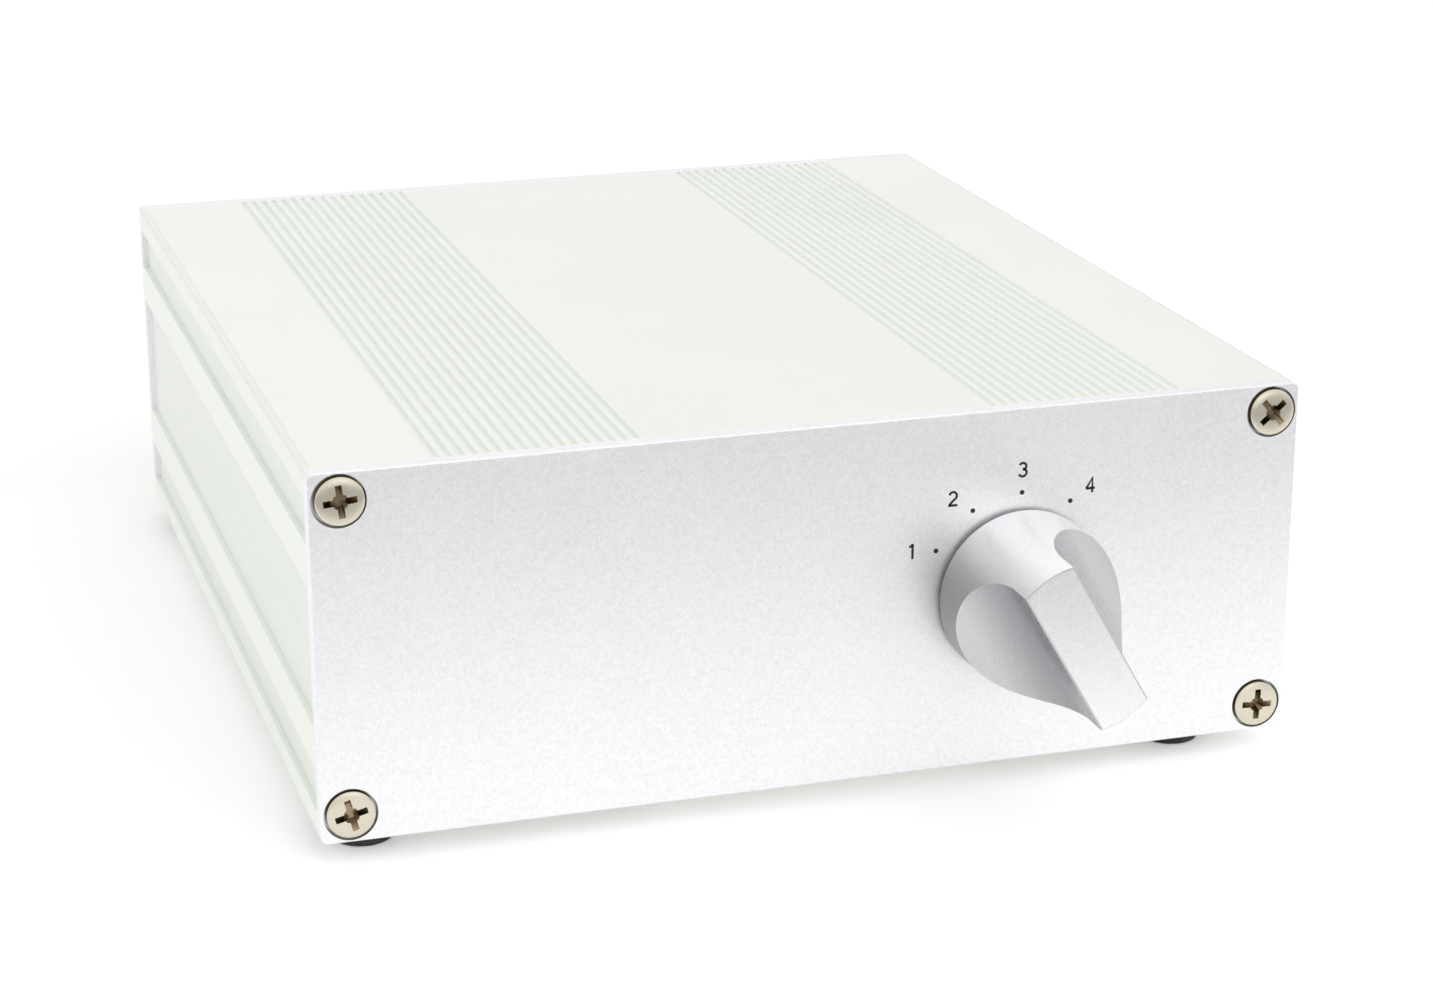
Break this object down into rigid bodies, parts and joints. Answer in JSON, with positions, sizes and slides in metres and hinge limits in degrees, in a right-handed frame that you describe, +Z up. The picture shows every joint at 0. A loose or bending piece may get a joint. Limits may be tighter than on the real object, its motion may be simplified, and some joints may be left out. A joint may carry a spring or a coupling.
{
  "type": "audio source selector",
  "caption": "Stereo audio source selector: split extruded aluminium case, screwed end plates, rotary switch with a grip-bar knob on the front and phono sockets at the back",
  "frame": {"origin": "on the surface that the feet stand on, midway between the front of the knob and the tips of the sockets, on the case's middle plane", "axes": "+X right, +Y from the front panel to the sockets at the back, +Z up"},
  "size_m": [0.122, 0.1658, 0.048],
  "materials": {
    "case_aluminium": "fine blasted, clear anodised",
    "panel_aluminium": "fine blasted, clear anodised",
    "knob_aluminium": "satin turned and blasted",
    "nickel_screws": "nickel plated",
    "foot_rubber": "matt black",
    "switch_zinc": "die cast and plated",
    "turned_steel": "turned",
    "spring_steel": "hard drawn",
    "contact_brass": "silver plated contact metal",
    "switch_plastic": "moulded",
    "wheel_plastic": "moulded acetal",
    "wafer_laminate": "paper laminate",
    "board_laminate": "glass laminate with green lacquer",
    "connector_plastic": "moulded",
    "ribbon_vinyl": "grey vinyl",
    "socket_metal": "gold coloured plating",
    "white_insulator": "moulded white",
    "red_insulator": "moulded red"
  },
  "bodies": {
    "case": {"upper_shell": "case_aluminium", "lower_shell": "case_aluminium", "front_panel": "panel_aluminium", "rear_panel": "panel_aluminium", "front_panel_screws": "nickel_screws", "rear_panel_screws": "nickel_screws", "rubber_feet": "foot_rubber", "switch_frame": "switch_zinc", "switch_washer": "spring_steel", "switch_nut": "turned_steel", "stop_plate": "spring_steel", "detent_housing": "switch_plastic", "detent_roller": "turned_steel", "detent_leaf_spring": "spring_steel", "way_contacts": "contact_brass", "common_contacts": "contact_brass", "switch_wafer": "wafer_laminate", "switch_board": "board_laminate", "switch_header": "connector_plastic", "socket_board_header": "connector_plastic", "ribbon_plugs": "connector_plastic", "ribbon_cable": "ribbon_vinyl", "socket_board": "board_laminate", "socket_blocks": "connector_plastic", "upper_socket_contacts": "contact_brass", "lower_socket_contacts": "contact_brass", "socket_shells": "socket_metal", "left_socket_inserts": "white_insulator", "right_socket_inserts": "red_insulator"},
    "selector": {"knob": "knob_aluminium", "knob_grub_screw": "turned_steel", "switch_shaft": "turned_steel", "shaft_retaining_ring": "spring_steel", "detent_wheel": "wheel_plastic", "switch_rotor": "wheel_plastic", "rotor_wipers": "contact_brass"}
  },
  "joints": [
    {"name": "knob_turn", "type": "hinge", "parent": "case", "child": "selector", "pos_m": [0.025, -0.0621, 0.0249], "axis": [0, 1, 0], "range_deg": [-30, 60]}
  ]
}
